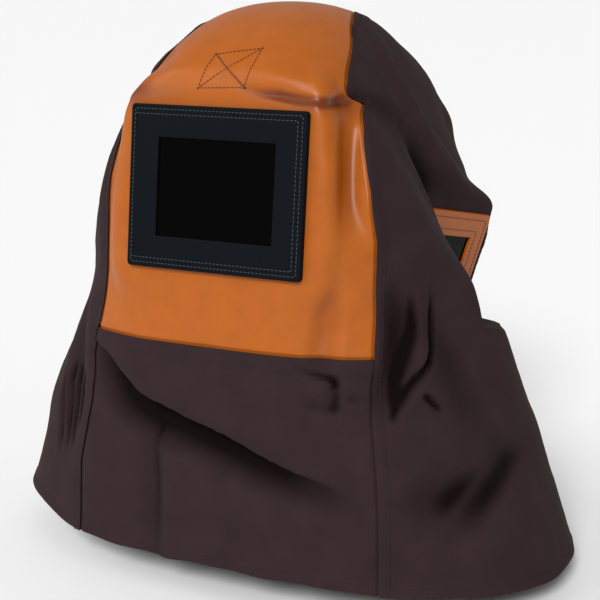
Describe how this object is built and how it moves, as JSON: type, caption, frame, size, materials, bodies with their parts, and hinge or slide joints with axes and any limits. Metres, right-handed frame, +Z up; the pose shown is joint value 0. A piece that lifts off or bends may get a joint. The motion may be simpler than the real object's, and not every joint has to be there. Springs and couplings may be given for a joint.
{
  "type": "industrial hood with bump cap",
  "caption": "Draped work hood: coated leather front with a framed dark filter window, small side windows and a cloth cape, over a hidden bump cap.",
  "frame": {"origin": "centre of the head's seat, in the plane of the bump cap's rim", "axes": "+Z up, front towards -Y, +X to the wearer's left"},
  "size_m": [0.5006, 0.3435, 0.464],
  "materials": {
    "orange_leather": "coated, soft sheen",
    "brown_cloth": "matt woven",
    "black_leather": "smooth, soft sheen",
    "dark_glass": "dark filter glass, polished",
    "cap_plastic": "moulded, plain",
    "sweatband": "matt woven"
  },
  "bodies": {
    "root": {"front_leather_panel": "orange_leather", "bib_panel": "brown_cloth", "back_panel": "brown_cloth", "side_panel_left": "brown_cloth", "side_panel_right": "brown_cloth", "side_window_frame_left": "orange_leather", "side_window_frame_right": "orange_leather", "side_window_glass_left": "dark_glass", "side_window_glass_right": "dark_glass", "window_frame": "black_leather", "filter_glass": "dark_glass", "bump_cap_shell": "cap_plastic", "bump_cap_headband": "sweatband", "cap_pad": "sweatband"}
  },
  "joints": []
}
